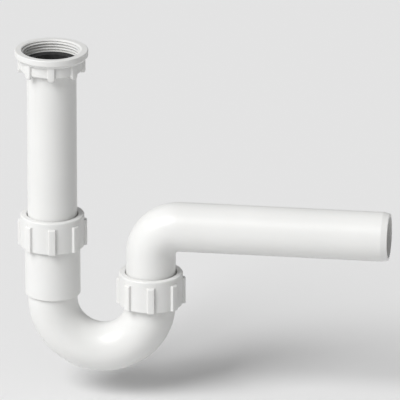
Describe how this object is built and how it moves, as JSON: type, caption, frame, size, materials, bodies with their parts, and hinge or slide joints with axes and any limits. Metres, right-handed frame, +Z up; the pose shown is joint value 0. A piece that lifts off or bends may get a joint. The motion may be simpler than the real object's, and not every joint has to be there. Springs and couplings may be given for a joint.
{
  "type": "p trap",
  "caption": "White plastic tube trap with a union nut inlet, a U-bend that holds the water seal and a long straight outlet arm.",
  "frame": {"origin": "centre of the inlet nut's mouth, where the basin waste enters", "axes": "+Z up out of the inlet, +X along the outlet arm towards its open end, so the U-bend and arm lie in the XZ plane"},
  "size_m": [0.3025, 0.059, 0.272],
  "materials": {
    "tube_plastic": "smooth moulded",
    "nut_plastic": "smooth moulded",
    "ring_plastic": "satin",
    "rubber": "matt"
  },
  "bodies": {
    "inlet": {"inlet_tube": "tube_plastic", "inlet_washer": "rubber"},
    "inlet_nut": {"inlet_nut": "nut_plastic"},
    "gasket_a": {"cone_gasket_a": "rubber"},
    "bend": {"u_bend": "tube_plastic"},
    "ring_a": {"slip_ring_a": "ring_plastic"},
    "nut_a": {"slip_nut_a": "nut_plastic"},
    "ring_b": {"slip_ring_b": "ring_plastic"},
    "nut_b": {"slip_nut_b": "nut_plastic"},
    "gasket_b": {"cone_gasket_b": "rubber"},
    "outlet": {"outlet_elbow": "tube_plastic"}
  },
  "joints": [
    {"name": "inlet_nut_turn", "type": "hinge", "parent": "inlet", "child": "inlet_nut", "pos_m": [0, 0, 0], "axis": [0, 0, 1], "continuous": true},
    {"name": "inlet_height_slide", "type": "slide", "parent": "inlet", "child": "gasket_a", "axis": [0, 0, 1], "range_m": [-0.02, 0.01]},
    {"name": "bend_swivel", "type": "hinge", "parent": "gasket_a", "child": "bend", "pos_m": [0, 0, -0.212], "axis": [0, 0, 1], "continuous": true},
    {"name": "ring_a_lift", "type": "slide", "parent": "bend", "child": "ring_a", "axis": [0, 0, 1], "range_m": [0, 0.0069]},
    {"name": "nut_a_turn", "type": "hinge", "parent": "ring_a", "child": "nut_a", "pos_m": [0, 0, -0.166], "axis": [0, 0, 1], "range_deg": [0, 1080]},
    {"name": "ring_b_lift", "type": "slide", "parent": "bend", "child": "ring_b", "axis": [0, 0, 1], "range_m": [0, 0.0069]},
    {"name": "nut_b_turn", "type": "hinge", "parent": "ring_b", "child": "nut_b", "pos_m": [0.08, 0, -0.212], "axis": [0, 0, 1], "range_deg": [0, 1080]},
    {"name": "outlet_swivel", "type": "hinge", "parent": "bend", "child": "gasket_b", "pos_m": [0.08, 0, -0.212], "axis": [0, 0, 1], "range_deg": [-140, 140]},
    {"name": "outlet_lift", "type": "slide", "parent": "gasket_b", "child": "outlet", "axis": [0, 0, 1], "range_m": [0, 0.008]}
  ],
  "couplings": [
    {"joint": "nut_a_turn", "follows": "ring_a_lift", "rad_per_m": 2721.2},
    {"joint": "nut_b_turn", "follows": "ring_b_lift", "rad_per_m": 2721.2}
  ]
}
